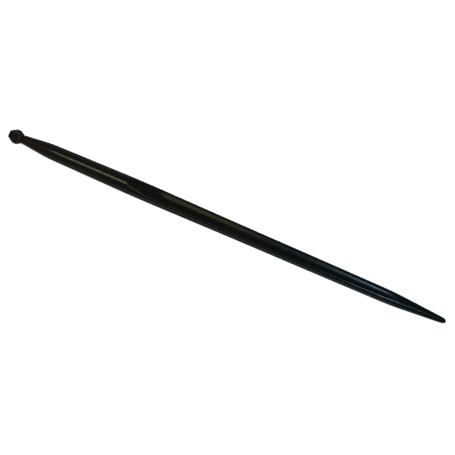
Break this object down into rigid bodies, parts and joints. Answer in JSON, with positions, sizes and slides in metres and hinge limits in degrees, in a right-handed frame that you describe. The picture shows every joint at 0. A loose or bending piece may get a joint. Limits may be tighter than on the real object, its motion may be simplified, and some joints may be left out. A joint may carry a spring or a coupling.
{
  "type": "bale spear",
  "caption": "Forged bale spear with a threaded mounting taper and clamp nut, round shank, fluted square blade and blunt tapered tip.",
  "frame": {"origin": "on the spear's axis, at the large end of the mounting taper", "axes": "+X along the spear's axis towards the tip, +Z out of one flat of the square blade, +Y out of the flat beside it"},
  "size_m": [1.245, 0.047, 0.047],
  "materials": {
    "painted_forging": "semi-gloss black paint over forged steel, with small chips",
    "painted_nut": "satin black paint over a steel nut, worn along its edges"
  },
  "bodies": {
    "root": {"spear": "painted_forging", "hex_nut": "painted_nut"}
  },
  "joints": []
}
